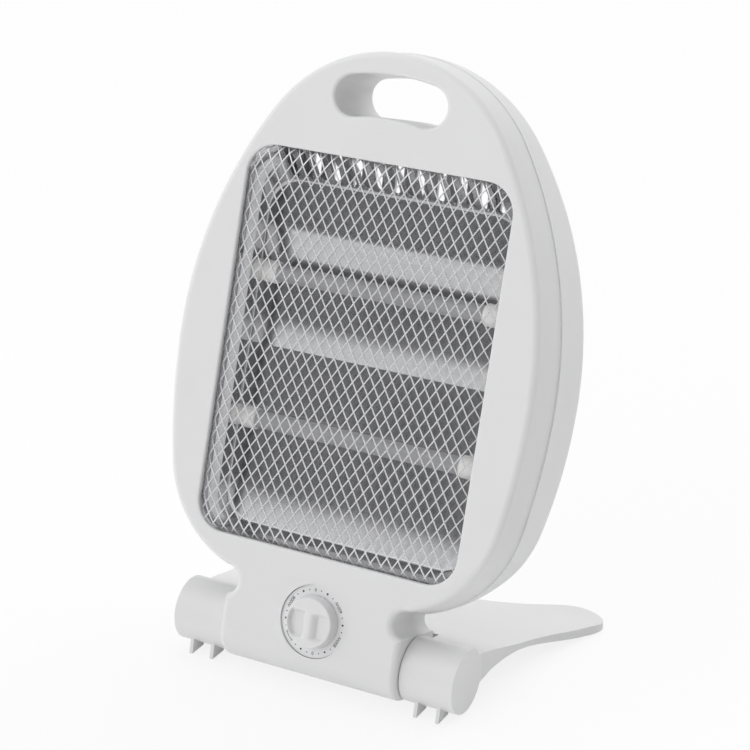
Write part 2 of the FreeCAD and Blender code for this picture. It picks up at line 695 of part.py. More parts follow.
def make_controls():
    disc = cylinder("dial_disc", "Sizes.dial_radius", "Sizes.dial_sheet", on_dial(DIAL_FRONT), Y_AXIS)
    hole = cylinder("dial_hole", "Sizes.dial_hole_radius", "Sizes.dial_sheet", on_dial(DIAL_FRONT), Y_AXIS)
    keep("dial_plate", cut("dial", disc, hole), CASING_FRAME)

    half = size.switch_size / 2
    body = block("switch_box", "Sizes.switch_size", "Sizes.switch_depth", "Sizes.switch_size",
                 on_dial(SEAT_BACK, -half, -half))
    bush = cylinder("switch_bush", "Sizes.bush_radius", "Sizes.seat_thickness", on_dial(DIAL_BACK), Y_AXIS)
    bore = cylinder("switch_bore", "Sizes.shaft_radius + Sizes.shaft_clearance",
                    "Sizes.seat_thickness + Sizes.switch_depth / 2", on_dial(DIAL_BACK), Y_AXIS)
    fixings = Part.makeCompound(switch_screw_shapes())
    sockets = solid_feature("switch_sockets", fixings)
    bored = cut("switch_bored", fuse("switch_solid", [body, bush]), bore)
    keep("rotary_switch", cut("switch", bored, sockets), CASING_FRAME)
    keep("switch_screws", solid_feature("switch_fixings", fixings), CASING_FRAME)

    knob_back = DIAL_FRONT - size.knob_lift
    shaft_start = on_dial(knob_back - size.shaft_socket)
    shaft_length = ("Sizes.shaft_socket + Sizes.knob_lift + Sizes.dial_sheet + Sizes.seat_thickness"
                    " + Sizes.shaft_tail")
    shaft = cylinder("shaft", "Sizes.shaft_radius", shaft_length, shaft_start, Y_AXIS)
    keep("switch_shaft", shaft, CASING_FRAME)

    seat = on_dial(knob_back)
    out = Y_AXIS * -1
    cone = Part.makeCone(size.knob_radius, size.knob_front_radius, size.knob_height, seat, out)
    front_edge = min(cone.Edges, key=lambda edge: edge.BoundBox.YMax)
    drum = solid_feature("knob_drum", cone.makeFillet(size.knob_edge_round, [front_edge]))
    socket = cylinder("knob_socket", "Sizes.shaft_radius", "Sizes.shaft_socket", seat, out)
    rim = size.knob_front_radius - size.knob_rim
    deep = size.scoop_depth
    lift = (rim ** 2 - (size.knob_bar / 2) ** 2 - deep ** 2) / (2 * deep)
    ball_centre = on_dial(knob_back - size.knob_height - lift)
    well = solid_feature("knob_well", Part.makeSphere(math.hypot(lift, rim), ball_centre))
    bar = block("knob_bar", "Sizes.knob_bar", "2 * Sizes.knob_height", "2 * Sizes.knob_radius",
                on_dial(knob_back - 2 * size.knob_height, -size.knob_bar / 2, -size.knob_radius))
    scoops = cut("knob_scoops", well, bar)
    knob = cut("knob_scooped", drum, fuse("knob_hollows", [scoops, socket]))
    keep("knob", knob, CASING_FRAME)


# Inner parts
def make_inner_parts():
    block_y = size.neck_depth - size.wall - size.block_depth
    tip = block("tip_box", "Sizes.block_width", "Sizes.block_depth", "Sizes.block_height",
                at(-size.block_gap / 2 - size.block_width, block_y, size.block_low))
    keep("tip_over_switch", tip, CASING_FRAME)
    terminals = block("terminal_box", "Sizes.block_width", "Sizes.block_depth", "Sizes.block_height",
                      at(size.block_gap / 2, block_y, size.block_low))
    keep("terminal_block", terminals, CASING_FRAME)
    cutout = cylinder("cutout_can", "Sizes.cutout_radius", "Sizes.cutout_height",
                      at(0, REFLECTOR_BACK, size.widest_height), Y_AXIS)
    keep("thermal_cutout", cutout, CASING_FRAME)

    seat = at(0, size.neck_depth, size.cord_bush_height)
    flange = cylinder("cord_flange", "Sizes.cord_bush_flange", "Sizes.cord_bush_lip", seat, Y_AXIS)
    stem = cylinder("cord_stem", "Sizes.cord_bush_radius", "2 * Sizes.wall", seat, Y_AXIS * -1)
    bore = cylinder("cord_bore", "Sizes.cord_bore_radius", "2 * Sizes.wall + Sizes.cord_bush_lip",
                    seat + Y_AXIS * size.cord_bush_lip, Y_AXIS * -1)
    keep("cord_bush", cut("cord_inlet", fuse("cord_solid", [flange, stem]), bore), CASING_FRAME)

    cover_screws = screws(cover_screw_places(), 2 * size.wall, -1, 2 * size.wall + size.screw_length)
    keep("cover_screws", solid_feature("cover_fixings", Part.makeCompound(cover_screws)), CASING_FRAME)
    tray_screws = screws(reflector_screw_places(), REFLECTOR_BACK - size.reflector_sheet, 1,
                         size.reflector_sheet + size.tray_screw_bite)
    keep("reflector_screws", solid_feature("tray_fixings", Part.makeCompound(tray_screws)), CASING_FRAME)


# Foot and hinge
def plate_plan():
    """The plate seen from above: it flares to two round rear lobes with a hollow edge between them."""
    reach = size.plate_reach
    wide = size.plate_rear_half
    end = size.barrel_end
    z = -2 * size.hinge_height
    right = [at(end, size.barrel_radius, z)]
    right += [at(end + share * (wide - end), y * reach, z) for share, y in PLATE_FLARE]
    right += [at(share * wide, y * reach, z) for share, y in PLATE_REAR]
    left = [at(-p.x, p.y, z) for p in reversed(right)]
    curve = Part.BSplineCurve()
    curve.interpolate(right + [at(0, PLATE_WAIST * reach, z)] + left)
    front = [at(-end, 0, z), at(end, 0, z)]
    edges = [curve.toShape(), line(left[-1], front[0]), line(*front), line(front[1], right[0])]
    return face_of(edges).extrude(at(0, 0, 4 * size.hinge_height))


def plate_side():
    """The plate seen from the side: a curved top that slopes to the floor and an arched underside."""
    floor = -size.hinge_height
    top, under = ([at(0, y * size.plate_reach, floor + z * size.hinge_height) for y, z in table]
                  for table in (PLATE_TOP, PLATE_UNDER))
    curves = []
    for points in (top, under):
        curve = Part.BSplineCurve()
        curve.interpolate(points)
        curves.append(curve.toShape())
    tip = at(0, top[-1].y, floor)
    rest = [line(top[-1], tip), line(tip, under[-1]), line(under[0], top[0])]
    wide = 3 * size.plate_rear_half
    side = face_of(Part.sortEdges(curves + rest)[0]).extrude(X_AXIS * wide)
    side.translate(at(-wide / 2, 0, 0))
    return side


def make_foot():
    plate = plate_plan().common(plate_side())
    clear = rod(size.plate_clearance, at(-BARREL_START, 0, 0), X_AXIS, 2 * BARREL_START)
    plate = plate.cut(clear)
    length = size.barrel_end - size.end_cap_thickness - BARREL_START
    barrels = []
    hollows = []
    toes = []
    floor = -size.hinge_height
    for sign in SIDES.values():
        out = X_AXIS * sign
        barrels.append(rod(size.barrel_radius, out * BARREL_START, out, length))
        bore = size.barrel_radius - size.barrel_wall
        hollows.append(rod(bore, out * (BARREL_START + size.web), out, 2 * length))
        hollows.append(rod(size.bolt_radius, at(0, 0, 0), out, size.barrel_end))
        for x in (size.toe_inner, size.toe_outer):
            front = at(0, -size.toe_reach, floor)
            corners = [front, at(0, -size.toe_reach + size.toe_length, floor),
                       at(0, -size.toe_reach + size.toe_length, -size.barrel_radius + size.toe_thickness),
                       at(0, -size.toe_reach + size.toe_slope, -size.barrel_radius / 2)]
            toe = Part.Face(Part.makePolygon(corners + corners[:1])).extrude(X_AXIS * size.toe_thickness)
            toe.translate(at(sign * x - size.toe_thickness / 2, 0, 0))
            toes.append(toe)
    cap_start = size.barrel_end - size.end_cap_thickness
    cap_room = [rod(size.barrel_radius, X_AXIS * sign * cap_start, X_AXIS * sign, size.barrel_end)
                for sign in SIDES.values()]
    foot = plate.cut(cap_room).fuse(barrels + toes).cut(hollows)
    keep("foot", solid_feature("foot_moulding", foot.removeSplitter()), FOOT_FRAME)


def make_hinge_half(side, sign):
    out = X_AXIS * sign
    cap_start = out * (size.barrel_end - size.end_cap_thickness)
    disc = cylinder(f"end_disc_{side}", "Sizes.barrel_radius", "Sizes.end_cap_thickness", cap_start, out)
    spigot_radius = "Sizes.barrel_radius - Sizes.barrel_wall - Sizes.spigot_clearance"
    spigot = cylinder(f"end_spigot_{side}", spigot_radius, "Sizes.end_cap_spigot", cap_start, out * -1)
    keep(f"barrel_end_cap_{side}", fuse(f"end_cap_{side}", [disc, spigot]), FOOT_FRAME)

    washer_start = out * (BARREL_START + size.web)
    ring = cylinder(f"washer_ring_{side}", "Sizes.washer_radius", "Sizes.washer_thickness", washer_start, out)
    ring_hole = cylinder(f"washer_hole_{side}", "Sizes.bolt_radius", "Sizes.washer_thickness",
                         washer_start, out)
    keep(f"hinge_washer_{side}", cut(f"washer_{side}", ring, ring_hole), FOOT_FRAME)

    shank_start = out * (HUB_INNER - size.nut_clearance - size.nut_height)
    shank = cylinder(f"bolt_shank_{side}", "Sizes.bolt_radius",
                     "Sizes.nut_clearance + Sizes.nut_height + Sizes.wall + Sizes.barrel_gap"
                     " + Sizes.web + Sizes.washer_thickness", shank_start, out)
    head = cylinder(f"bolt_head_{side}", "Sizes.bolt_head_radius", "Sizes.bolt_head_height",
                    washer_start + out * size.washer_thickness, out)
    keep(f"hinge_bolt_{side}", fuse(f"bolt_{side}", [shank, head]), FOOT_FRAME)

    prism = doc.addObject("Part::Prism", f"nut_prism_{side}")
    prism.Polygon = 6
    bind(prism, Circumradius="Sizes.nut_radius", Height="Sizes.nut_height")
    prism.Placement = Placement(shank_start, Rotation(Vector(0, 0, 1), out))
    thread = cylinder(f"nut_thread_{side}", "Sizes.bolt_radius", "Sizes.nut_height", shank_start, out)
    keep(f"hinge_nut_{side}", cut(f"nut_{side}", prism, thread), FOOT_FRAME)


# Build
keep("front_cover", solid_feature("front_shell", make_front_cover()), CASING_FRAME)
keep("rear_cover", solid_feature("rear_shell", make_rear_cover()), CASING_FRAME)
keep("grille", solid_feature("grille_net", make_grille()), CASING_FRAME)
keep("reflector", solid_feature("reflector_tray", make_reflector()), CASING_FRAME)
for tube_level, tube_height in TUBE_HEIGHTS.items():
    make_tube(tube_level, tube_height)
    for side_name, side_sign in SIDES.items():
        make_cap(tube_level, tube_height, side_name, side_sign)
make_pins()
make_controls()
make_inner_parts()
make_foot()
for side_name, side_sign in SIDES.items():
    make_hinge_half(side_name, side_sign)
doc.recompute()

# The origin goes to the middle of the whole object, on the floor
whole = FreeCAD.BoundBox()
for piece in pieces.values():
    whole.add(piece.Shape.optimalBoundingBox(False))
middle_shift = Placement(Vector(0, -whole.Center.y, 0), Rotation())
for piece in pieces.values():
    piece.Placement = middle_shift.multiply(piece.Placement)
doc.recompute()
print("hinge axis at y", round(-whole.Center.y, 4), "z", size.hinge_height)
print("whole", [round(v, 2) for v in (whole.XLength, whole.YLength, whole.ZMin, whole.ZMax)])

# Check and write
for item in doc.Objects:
    if "Invalid" in item.State or "Error" in item.State:
        raise RuntimeError(f"{item.Label} failed: {item.State}")
for label, piece in pieces.items():
    if piece.Shape.isNull() or not piece.Shape.isValid():
        raise RuntimeError(f"{label} has no valid shape")
os.makedirs("parts", exist_ok=True)
for label, piece in pieces.items():
    piece.Shape.exportStep(f"parts/{label}.step")
    print(label, "solids", len(piece.Shape.Solids), "volume", round(piece.Shape.Volume, 1))
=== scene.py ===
"""Looks of a small quartz heater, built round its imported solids."""
import json
import math

import bmesh
import bpy
from mathutils import Matrix, Vector


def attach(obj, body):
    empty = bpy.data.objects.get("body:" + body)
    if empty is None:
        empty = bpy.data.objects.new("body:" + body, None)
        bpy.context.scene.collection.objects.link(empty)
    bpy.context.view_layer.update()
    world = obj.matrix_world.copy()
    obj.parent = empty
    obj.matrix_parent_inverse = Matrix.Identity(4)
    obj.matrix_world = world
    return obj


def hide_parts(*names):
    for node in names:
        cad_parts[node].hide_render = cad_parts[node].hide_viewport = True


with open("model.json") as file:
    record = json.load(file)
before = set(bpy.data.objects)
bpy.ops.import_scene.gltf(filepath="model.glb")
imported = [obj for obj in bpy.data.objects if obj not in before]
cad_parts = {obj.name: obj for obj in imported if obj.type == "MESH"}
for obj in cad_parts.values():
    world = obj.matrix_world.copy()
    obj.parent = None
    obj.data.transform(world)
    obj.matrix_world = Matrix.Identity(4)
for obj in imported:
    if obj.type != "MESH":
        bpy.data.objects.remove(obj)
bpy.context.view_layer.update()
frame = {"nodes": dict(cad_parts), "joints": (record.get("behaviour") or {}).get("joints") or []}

bl_info = {
    "name": "Quartz heater",
    "version": (1, 0, 0),
    "blender": (4, 5, 0),
    "location": "View3D > Sidebar > Heater",
    "description": "Dresses the heater's solids with finishes, grille, reflector, dial and stage",
    "category": "Object",
}

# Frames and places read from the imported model
JOINTS = {joint["name"]: joint for joint in frame["joints"]}
HINGE = Vector(JOINTS["casing_tilt"]["pos_m"])
KNOB_AXIS = Vector(JOINTS["knob_turn"]["axis"])
RECLINE = math.atan2(KNOB_AXIS.z, -KNOB_AXIS.y)
CASING = Matrix.Translation(HINGE) @ Matrix.Rotation(-RECLINE, 4, "X")
MM = 0.001
SIDES = {"left": -1, "right": 1}
LEVELS = ("upper", "lower")
# Lengths in metres under which two points count as one, or a point as lying on a face
TINY = 1e-7
NEAR = 1e-6


def upright_box(node):
    """Lowest and highest corner of a node in the casing's own upright frame."""
    undo = CASING.inverted()
    points = [undo @ vertex.co for vertex in frame["nodes"][node].data.vertices]
    low = Vector([min(p[axis] for p in points) for axis in range(3)])
    high = Vector([max(p[axis] for p in points) for axis in range(3)])
    return low, high


# Settings that a user would change
class HeaterSizes(bpy.types.PropertyGroup):
    """Sizes of what is drawn finer than the solids."""
    diamond_width: bpy.props.FloatProperty(
        name="Diamond width", description="Width of one gap of the grille",
        default=6.6 * MM, unit="LENGTH")
    diamond_height: bpy.props.FloatProperty(
        name="Diamond height", description="Height of one gap of the grille",
        default=10.4 * MM, unit="LENGTH")
    strand: bpy.props.FloatProperty(
        name="Strand", description="Width of the grille's strands",
        default=0.62 * MM, unit="LENGTH")
    strand_thickness: bpy.props.FloatProperty(
        name="Strand thickness", description="Thickness of the grille's sheet",
        default=0.6 * MM, unit="LENGTH")
    dish: bpy.props.FloatProperty(
        name="Dish", description="How far the grille's border curves back",
        default=6.0 * MM, unit="LENGTH")
    dish_width: bpy.props.FloatProperty(
        name="Dish width", description="Width of the grille's curved border",
        default=11.0 * MM, unit="LENGTH")
    tray_round: bpy.props.FloatProperty(
        name="Tray round", description="Radius between the reflector's back and walls",
        default=1.5 * MM, unit="LENGTH")
    slant: bpy.props.FloatProperty(
        name="Slant", description="How far the reflector's sides slant inward",
        default=4.0 * MM, unit="LENGTH")
    print_lift: bpy.props.FloatProperty(
        name="Print lift", description="Thickness of the dial's print",
        default=0.05 * MM, unit="LENGTH")


class HeaterColours(bpy.types.PropertyGroup):
    """Colours of the finishes."""
    casing: bpy.props.FloatVectorProperty(
        name="Casing", description="White moulded plastic",
        subtype="COLOR", default=(0.77, 0.77, 0.775), size=3)
    dial: bpy.props.FloatVectorProperty(
        name="Dial", description="Dial disc", subtype="COLOR", default=(0.79, 0.79, 0.8), size=3)
    ink: bpy.props.FloatVectorProperty(
        name="Ink", description="Print on the dial",
        subtype="COLOR", default=(0.03, 0.03, 0.035), size=3)
    wire: bpy.props.FloatVectorProperty(
        name="Grille", description="Bright plated steel",
        subtype="COLOR", default=(0.8, 0.8, 0.82), size=3)
    mirror: bpy.props.FloatVectorProperty(
        name="Reflector", description="Polished aluminium",
        subtype="COLOR", default=(0.66, 0.66, 0.67), size=3)
    quartz: bpy.props.FloatVectorProperty(
        name="Quartz", description="Milky quartz",
        subtype="COLOR", default=(0.54, 0.54, 0.55), size=3)
    ceramic: bpy.props.FloatVectorProperty(
        name="Ceramic", description="Glazed end caps",
        subtype="COLOR", default=(0.97, 0.97, 0.95), size=3)
    steel: bpy.props.FloatVectorProperty(
        name="Steel", description="Screws, bolts and terminals",
        subtype="COLOR", default=(0.55, 0.55, 0.56), size=3)
    dark: bpy.props.FloatVectorProperty(
        name="Dark plastic", description="Switch bodies",
        subtype="COLOR", default=(0.03, 0.03, 0.032), size=3)
    rubber: bpy.props.FloatVectorProperty(
        name="Rubber", description="Cord bush and insulating parts",
        subtype="COLOR", default=(0.62, 0.62, 0.63), size=3)
    coil: bpy.props.FloatVectorProperty(
        name="Coil", description="Heating wire",
        subtype="COLOR", default=(0.24, 0.22, 0.21), size=3)
    floor: bpy.props.FloatVectorProperty(
        name="Floor", description="Pale studio floor",
        subtype="COLOR", default=(0.9, 0.9, 0.9), size=3)


def sizes():
    return bpy.context.scene.heater_sizes


def colours():
    return bpy.context.scene.heater_colours


# Shared shader effect and the finishes made with it
GRAIN_HEIGHT = 0.1 * MM


def add_node(tree, kind, values=None, **settings):
    """A new node with its settings and the plain values of its inputs."""
    node = tree.nodes.new(kind)
    for name, value in settings.items():
        setattr(node, name, value)
    for name, value in (values or {}).items():
        node.inputs[name].default_value = value
    return node


def mottle_group():
    """Slow cloudy change of colour and roughness with a fine grain as height."""
    found = bpy.data.node_groups.get("Mottle")
    if found:
        return found
    group = bpy.data.node_groups.new("Mottle", "ShaderNodeTree")
    face = group.interface
    for name in ("Colour", "Tint"):
        face.new_socket(name=name, in_out="INPUT", socket_type="NodeSocketColor")
    for name in ("Cloud scale", "Grain scale", "Roughness low", "Roughness high"):
        face.new_socket(name=name, in_out="INPUT", socket_type="NodeSocketFloat")
    face.new_socket(name="Colour", in_out="OUTPUT", socket_type="NodeSocketColor")
    for name in ("Roughness", "Height"):
        face.new_socket(name=name, in_out="OUTPUT", socket_type="NodeSocketFloat")
    inward = add_node(group, "NodeGroupInput")
    outward = add_node(group, "NodeGroupOutput")
    place = add_node(group, "ShaderNodeTexCoord")
    cloud = add_node(group, "ShaderNodeTexNoise", {"Detail": 3.0})
    grain = add_node(group, "ShaderNodeTexNoise", {"Detail": 2.0, "Roughness": 0.6})
    tint = add_node(group, "ShaderNodeMix", data_type="RGBA")
    rough = add_node(group, "ShaderNodeMix", data_type="FLOAT")
    link = group.links.new
    for noise, scale in ((cloud, "Cloud scale"), (grain, "Grain scale")):
        link(place.outputs["Object"], noise.inputs["Vector"])
        link(inward.outputs[scale], noise.inputs["Scale"])
    link(cloud.outputs["Fac"], tint.inputs["Factor"])
    link(inward.outputs["Colour"], tint.inputs["A"])
    link(inward.outputs["Tint"], tint.inputs["B"])
    link(grain.outputs["Fac"], rough.inputs["Factor"])
    link(inward.outputs["Roughness low"], rough.inputs["A"])
    link(inward.outputs["Roughness high"], rough.inputs["B"])
    link(tint.outputs["Result"], outward.inputs["Colour"])
    link(rough.outputs["Result"], outward.inputs["Roughness"])
    link(grain.outputs["Fac"], outward.inputs["Height"])
    return group


def finish_material(name, colour, roughness, shade=0.97, cloud=30.0, grain=1500.0, bump=0.1, **shader):
    """A material with cloudy colour, uneven gloss and fine grain; shader sets sockets of its own."""
    found = bpy.data.materials.get(name)
    if found:
        return found
    material = bpy.data.materials.new(name)
    material.use_nodes = True
    tree = material.node_tree
    body = tree.nodes["Principled BSDF"]
    values = {"Colour": (*colour, 1), "Tint": (*(shade * c for c in colour), 1), "Cloud scale": cloud,
              "Grain scale": grain, "Roughness low": roughness[0], "Roughness high": roughness[1]}
    mottle = add_node(tree, "ShaderNodeGroup", values, node_tree=mottle_group())
    lift = add_node(tree, "ShaderNodeBump", {"Strength": bump, "Distance": GRAIN_HEIGHT})
    tree.links.new(mottle.outputs["Colour"], body.inputs["Base Color"])
    tree.links.new(mottle.outputs["Roughness"], body.inputs["Roughness"])
    tree.links.new(mottle.outputs["Height"], lift.inputs["Height"])
    tree.links.new(lift.outputs["Normal"], body.inputs["Normal"])
    for socket, value in shader.items():
        body.inputs[socket.replace("_", " ")].default_value = value
    return material


def casing_plastic():
    return finish_material("Casing_plastic", colours().casing, roughness=(0.3, 0.42), bump=0.12)


def dial_plastic():
    return finish_material("Dial_plastic", colours().dial, roughness=(0.35, 0.45), bump=0.08)


def printed_ink():
    return finish_material("Printed_ink", colours().ink, roughness=(0.4, 0.55), shade=1.4, cloud=400.0,
                           bump=0.02)


def grille_wire():
    return finish_material("Grille_wire", colours().wire, roughness=(0.22, 0.34), cloud=90.0, grain=2500.0,
                           Metallic=0.55)


def reflector_metal():
    return finish_material("Reflector_metal", colours().mirror, roughness=(0.13, 0.2), shade=0.92,
                           cloud=18.0, grain=110.0, bump=0.3, Metallic=1.0)


def milky_quartz():
    return finish_material("Milky_quartz", colours().quartz, roughness=(0.18, 0.3), shade=1.25, cloud=60.0,
                           bump=0.03, Transmission_Weight=0.35, IOR=1.46)


def glazed_ceramic():
    return finish_material("Glazed_ceramic", colours().ceramic, roughness=(0.25, 0.4), cloud=80.0, bump=0.08)


def dull_steel():
    return finish_material("Dull_steel", colours().steel, roughness=(0.28, 0.42), cloud=120.0, Metallic=1.0)


def dark_plastic():
    return finish_material("Dark_plastic", colours().dark, roughness=(0.4, 0.55), shade=1.3, bump=0.15)


def pale_rubber():
    return finish_material("Pale_rubber", colours().rubber, roughness=(0.6, 0.75), cloud=120.0, bump=0.25)


def heating_wire():
    return finish_material("Heating_wire", colours().coil, roughness=(0.4, 0.6), cloud=300.0, bump=0.2,
                           Metallic=0.8)


# Mesh helpers
def new_piece(name, mesh, material, body, place, replaces=()):
    """An object at a place that rides on a body and may stand for solids of the frame."""
    piece = bpy.data.objects.new(name, mesh)
    bpy.context.scene.collection.objects.link(piece)
    piece.matrix_world = place
    mesh.materials.clear()
    mesh.materials.append(material)
    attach(piece, body)
    if replaces:
        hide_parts(*replaces)
    return piece


def mesh_from(work, name, smooth_angle=30.0):
    """A mesh from a bmesh, smooth except at sharp edges."""
    mesh = bpy.data.meshes.new(name)
    bmesh.ops.recalc_face_normals(work, faces=work.faces)
    work.to_mesh(mesh)
    work.free()
    mesh.polygons.foreach_set("use_smooth", [True] * len(mesh.polygons))
    mesh.set_sharp_from_angle(angle=math.radians(smooth_angle))
    return mesh


def evaluated_mesh(thing):
    """The mesh that an object's modifiers or its text give."""
    bpy.context.view_layer.update()
    graph = bpy.context.evaluated_depsgraph_get()
    return bpy.data.meshes.new_from_object(thing.evaluated_get(graph))


def turned(profile, origin, axis, segments=64):
    """A bmesh turned from (radius, distance) pairs about an axis that starts at origin."""
    work = bmesh.new()
    aim = Vector((0, 0, 1)).rotation_difference(Vector(axis)).to_matrix()
    rings = []
    for radius, along in profile:
        if radius < TINY:
            rings.append([work.verts.new(Vector(origin) + aim @ Vector((0, 0, along)))])
            continue
        ring = []
        for step in range(segments):
            turn = 2 * math.pi * step / segments
            point = Vector((radius * math.cos(turn), radius * math.sin(turn), along))
            ring.append(work.verts.new(Vector(origin) + aim @ point))
        rings.append(ring)
    for first, second in zip(rings, rings[1:]):
        for step in range(segments):
            after = (step + 1) % segments
            corners = [first[step % len(first)], first[after % len(first)],
                       second[after % len(second)], second[step % len(second)]]
            unique = list(dict.fromkeys(corners))
            if len(unique) > 2:
                work.faces.new(unique)
    return work


def round_step(radius_from, radius_to, along, bead, steps=5):
    """Pairs (radius, distance) of a quarter round between two radii that starts at a distance along."""
    points = []
    for step in range(steps + 1):
        turn = math.pi / 2 * step / steps
        radius = radius_from + (radius_to - radius_from) * math.sin(turn)
        points.append((radius, along + bead * (1 - math.cos(turn))))
    return points


def rounded_loop(half, low, high, radius, steps=8):
    """Points (x, z) of a rectangle with round corners, anticlockwise from the right."""
    points = []
    corners = ((half - radius, high - radius, 0), (-half + radius, high - radius, 1),
               (-half + radius, low + radius, 2), (half - radius, low + radius, 3))
    for x, z, quarter in corners:
        for step in range(steps + 1):
            turn = math.pi / 2 * (quarter + step / steps)
            points.append((x + radius * math.cos(turn), z + radius * math.sin(turn)))
    return points


def cut_away(piece, cutters):
    """Take cutter meshes out of a piece for good."""
    joined = bmesh.new()
    for cutter in cutters:
        mesh = bpy.data.meshes.new("cutter")
        cutter.to_mesh(mesh)
        cutter.free()
        joined.from_mesh(mesh)
        bpy.data.meshes.remove(mesh)
    mesh = bpy.data.meshes.new("cutters")
    bmesh.ops.recalc_face_normals(joined, faces=joined.faces)
    joined.to_mesh(mesh)
    joined.free()
    tool = bpy.data.objects.new("cutters", mesh)
    bpy.context.scene.collection.objects.link(tool)
    tool.matrix_world = piece.matrix_world.copy()
    modifier = piece.modifiers.new("cut", "BOOLEAN")
    modifier.operation = "DIFFERENCE"
    modifier.solver = "EXACT"
    modifier.object = tool
    result = evaluated_mesh(piece)
    piece.modifiers.remove(modifier)
    piece.data = result
    bpy.data.objects.remove(tool)


# Grille: expanded metal with a border that curves back
GRILLE_CORNER = 13.0 * MM
GRILLE_SINK = 0.5 * MM


def grille_net(low, high):
    """A flat bmesh of diamond strands cut to a rectangle with round corners, its middle and half size."""
    size = sizes()
    wide = size.diamond_width / 2
    tall = size.diamond_height / 2
    middle = Vector(((low.x + high.x) / 2, 0, (low.z + high.z) / 2))
    half = Vector(((high.x - low.x) / 2, 0, (high.z - low.z) / 2))
    slope = math.hypot(wide, tall)
    inset = 1 - size.strand / 2 * slope / (wide * tall)
    work = bmesh.new()
    points = {}

    def corner(column, row, gap=None):
        """A crossing of the strands, or the corner of one gap, drawn in by half a strand."""
        key = (column, row, gap)
        if key not in points:
            spot = Vector((column * wide, 0, row * tall))
            if gap:
                core = Vector((gap[0] * wide, 0, gap[1] * tall))
                spot = core + (spot - core) * inset
            points[key] = work.verts.new(middle + spot)
        return points[key]

    columns = int(half.x / wide) + 2
    rows = int(half.z / tall) + 2
    for row in range(-rows, rows + 1):
        for column in range(-columns, columns + 1):
            if (row + column) % 2:
                continue
            gap = (column, row)
            around = [(column + 1, row), (column, row + 1), (column - 1, row), (column, row - 1)]
            for first, second in zip(around, around[1:] + around[:1]):
                work.faces.new((corner(*first), corner(*second), corner(*second, gap), corner(*first, gap)))
    loop = rounded_loop(half.x, middle.z - half.z, middle.z + half.z, GRILLE_CORNER)
    for (x0, z0), (x1, z1) in zip(loop, loop[1:] + loop[:1]):
        outward = Vector((z1 - z0, 0, x0 - x1))
        if outward.length < TINY:
            continue
        geometry = work.verts[:] + work.edges[:] + work.faces[:]
        bmesh.ops.bisect_plane(work, geom=geometry, plane_co=(x0, 0, z0), plane_no=outward,
                               clear_outer=True)
    return work, middle, half


def make_grille():
    """The net, curved back along its border and given its thickness."""
    size = sizes()
    low, high = upright_box("grille")
    front = upright_box("front_cover")[0].y
    work, middle, half = grille_net(low, high)
    crown = front + GRILLE_SINK
    for vertex in work.verts:
        from_side = half.x - abs(vertex.co.x - middle.x)
        from_end = half.z - abs(vertex.co.z - middle.z)
        near = min(from_side, from_end) / size.dish_width
        curve = (1 - min(1.0, max(0.0, near))) ** 2
        vertex.co.y = crown + size.dish * curve
    mesh = mesh_from(work, "grille_mesh", smooth_angle=60.0)
    piece = new_piece("grille_mesh", mesh, grille_wire(), "casing", CASING, ("grille",))
    thick = piece.modifiers.new("sheet", "SOLIDIFY")
    thick.thickness = size.strand_thickness
    thick.offset = -1


# Reflector: a polished tray with sides that slant inward, a trough behind each tube and slots in the top.
# SLANT_DEPTH is the share of the tray's depth where the slant starts, and BEND_DROP how far below the
# tray's middle its two troughs meet.
REFLECTOR_SHEET = 0.8 * MM
TOP_DROP = 20.0 * MM
BOTTOM_RISE = 6.0 * MM
TRAY_CORNER = 19.0 * MM
CORNER_SHRINK = 0.6
FINE_STEPS = 18
SLANT_DEPTH = 0.34
TROUGH_ROWS = 66
BEND_DROP = 5.0 * MM
SLOT_PITCH = 9.0 * MM
SLOT_HALF = 2.5 * MM
SLOT_REACH = 7.5 * MM
SLOT_FORWARD = 2.0 * MM
SLOT_STEPS = 8
# Share of each trough's height from its lower end, and how many degrees its face looks up there
LOWER_TROUGH = ((0.0, 14.0), (0.18, 9.0), (0.28, 2.0), (0.36, 0.0), (1.0, 0.0))
UPPER_TROUGH = ((0.0, 13.0), (0.13, 8.5), (0.21, 2.0), (0.27, 0.0), (0.46, 0.0), (0.52, -12.0),
                (0.68, -13.0), (0.75, 0.0), (1.0, 0.0))


def between(table, place):
    """The value at a place, straight between a table's pairs of place and value."""
    for (first, before), (second, after) in zip(table, table[1:]):
        if place <= second:
            return before + (after - before) * (place - first) / (second - first)
    return table[-1][1]


def quarter_round(radius, steps=FINE_STEPS):
    """Pairs (along, across) of a quarter circle that starts along and ends across."""
    turns = [math.pi / 2 * step / steps for step in range(1, steps + 1)]
    return [(radius * math.sin(turn), radius * (1 - math.cos(turn))) for turn in turns]


def reflector_loops(low, high):
    """(y, half width, low, high, corner) of the tray's loops from the rim to the back."""
    size = sizes()
    deep = high.y - low.y
    half = (high.x - low.x) / 2 - REFLECTOR_SHEET
    back = high.y - REFLECTOR_SHEET

    def loop_at(y, inward, slant):
        share = (y - low.y) / deep
        top = high.z - REFLECTOR_SHEET - TOP_DROP * share - inward
        bottom = low.z + REFLECTOR_SHEET + BOTTOM_RISE * share + inward
        return (y, half - inward - slant, bottom, top, TRAY_CORNER - CORNER_SHRINK * inward)

    step = low.y + deep * SLANT_DEPTH
    loops = [loop_at(low.y, 0.0, 0.0), loop_at(step, 0.0, 0.0)]
    loops += [loop_at(y, 0.0, size.slant) for y in (step + size.slant, back - size.tray_round)]
    loops += [loop_at(back - size.tray_round + along, across, size.slant)
              for along, across in quarter_round(size.tray_round)]
    return loops


